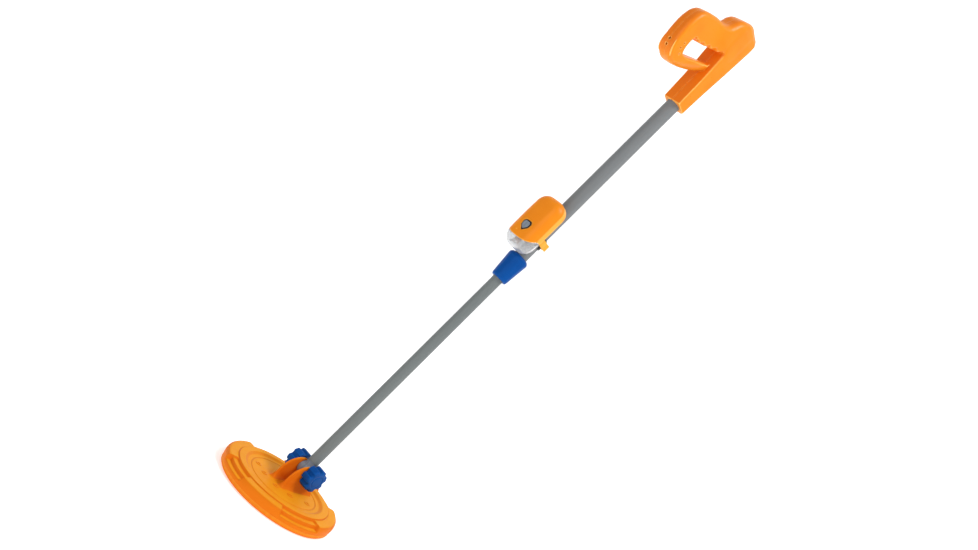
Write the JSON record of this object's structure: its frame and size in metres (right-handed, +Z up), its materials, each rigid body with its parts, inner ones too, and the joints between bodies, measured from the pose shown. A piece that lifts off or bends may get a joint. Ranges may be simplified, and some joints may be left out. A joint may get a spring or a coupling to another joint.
{
  "type": "metal detector",
  "caption": "Telescopic metal detector: flat round search coil tilting on a hinge with clamping knobs, twist-lock pole, clip-on lamp and a closed loop handle.",
  "frame": {"origin": "centre of the coil's sole, which lies flat in the XY plane", "axes": "+Z up out of the sole; the hinge pin lies along Y; the pole leans from the hinge towards +X as it rises"},
  "size_m": [0.2937, 0.174, 0.8904],
  "materials": {
    "orange_plastic": "satin moulded plastic",
    "blue_plastic": "satin moulded plastic",
    "tube_aluminium": "grey satin coating",
    "screw_steel": "plain",
    "copper_wire": "varnished winding wire",
    "grey_plastic": "matt",
    "white_plastic": "plain",
    "black_rubber": "matt",
    "dark_plastic": "matt",
    "grey_rubber": "matt",
    "clear_lens": "clear plastic",
    "bright_reflector": "bright",
    "circuit_board": "lacquered",
    "cell_jacket": "printed-free wrap",
    "spring_brass": "plated"
  },
  "bodies": {
    "handle": {"handle_shell_right": "orange_plastic", "handle_shell_left": "orange_plastic", "handle_screws": "screw_steel", "tube_pin": "screw_steel", "battery": "cell_jacket", "battery_snap": "dark_plastic", "buzzer": "dark_plastic", "main_board": "circuit_board", "power_switch": "dark_plastic", "upper_tube": "tube_aluminium", "collet": "white_plastic"},
    "power_slider": {"power_slider": "dark_plastic"},
    "battery_door": {"battery_door": "orange_plastic"},
    "collar": {"lock_collar": "blue_plastic"},
    "lower_pole": {"lower_tube": "tube_aluminium", "tube_bush": "white_plastic", "pole_foot": "grey_plastic", "foot_pin": "screw_steel", "friction_washers": "black_rubber"},
    "coil": {"coil_housing": "orange_plastic", "coil_base": "orange_plastic", "transmit_winding": "copper_wire", "receive_winding": "copper_wire", "coil_screws": "screw_steel"},
    "near_knob": {"knob_near": "blue_plastic", "hinge_bolt": "screw_steel"},
    "far_knob": {"knob_far": "blue_plastic", "hinge_nut": "screw_steel"},
    "lamp_carrier": {"lamp_liner": "black_rubber"},
    "lamp": {"lamp_cover": "orange_plastic", "lamp_base": "orange_plastic", "lamp_lens": "clear_lens", "button_bezel": "dark_plastic", "lamp_reflector": "bright_reflector", "lamp_led": "white_plastic", "lamp_board": "circuit_board", "lamp_switch": "dark_plastic", "lamp_cells": "cell_jacket", "cell_contacts": "spring_brass", "lamp_screws": "screw_steel"},
    "lamp_button": {"lamp_button": "grey_rubber"}
  },
  "joints": [
    {"name": "collar_turn", "type": "hinge", "parent": "handle", "child": "collar", "pos_m": [0.09193, 0, 0.41776], "axis": [0.1932, 0, 0.9812], "range_deg": [0, 120]},
    {"name": "pole_telescope", "type": "slide", "parent": "handle", "child": "lower_pole", "axis": [0.1932, 0, 0.9812], "range_m": [0, 0.26]},
    {"name": "coil_tilt", "type": "hinge", "parent": "lower_pole", "child": "coil", "pos_m": [0.0187, 0, 0.0459], "axis": [0, 1, 0], "range_deg": [-75, 75]},
    {"name": "near_knob_turn", "type": "hinge", "parent": "coil", "child": "near_knob", "pos_m": [0.0187, 0, 0.0459], "axis": [0, 1, 0], "range_deg": [0, 360]},
    {"name": "far_knob_turn", "type": "hinge", "parent": "coil", "child": "far_knob", "pos_m": [0.0187, 0, 0.0459], "axis": [0, 1, 0], "range_deg": [0, 360]},
    {"name": "lamp_slide", "type": "slide", "parent": "handle", "child": "lamp_carrier", "axis": [0.1932, 0, 0.9812], "range_m": [-0.008, 0.2]},
    {"name": "lamp_swing", "type": "hinge", "parent": "lamp_carrier", "child": "lamp", "pos_m": [0.10217, 0, 0.46976], "axis": [0.1932, 0, 0.9812], "range_deg": [-180, 180]},
    {"name": "lamp_button_press", "type": "slide", "parent": "lamp", "child": "lamp_button", "axis": [0.9812, 0, -0.1932], "range_m": [0, 0.0012], "stiffness_N_per_m": 900, "springref_m": -0.0005},
    {"name": "power_slide", "type": "slide", "parent": "handle", "child": "power_slider", "axis": [0.1932, 0, 0.9812], "range_m": [0, 0.004]},
    {"name": "battery_door_lift", "type": "slide", "parent": "handle", "child": "battery_door", "axis": [0.9812, 0, -0.1932], "range_m": [0, 0.014]}
  ]
}
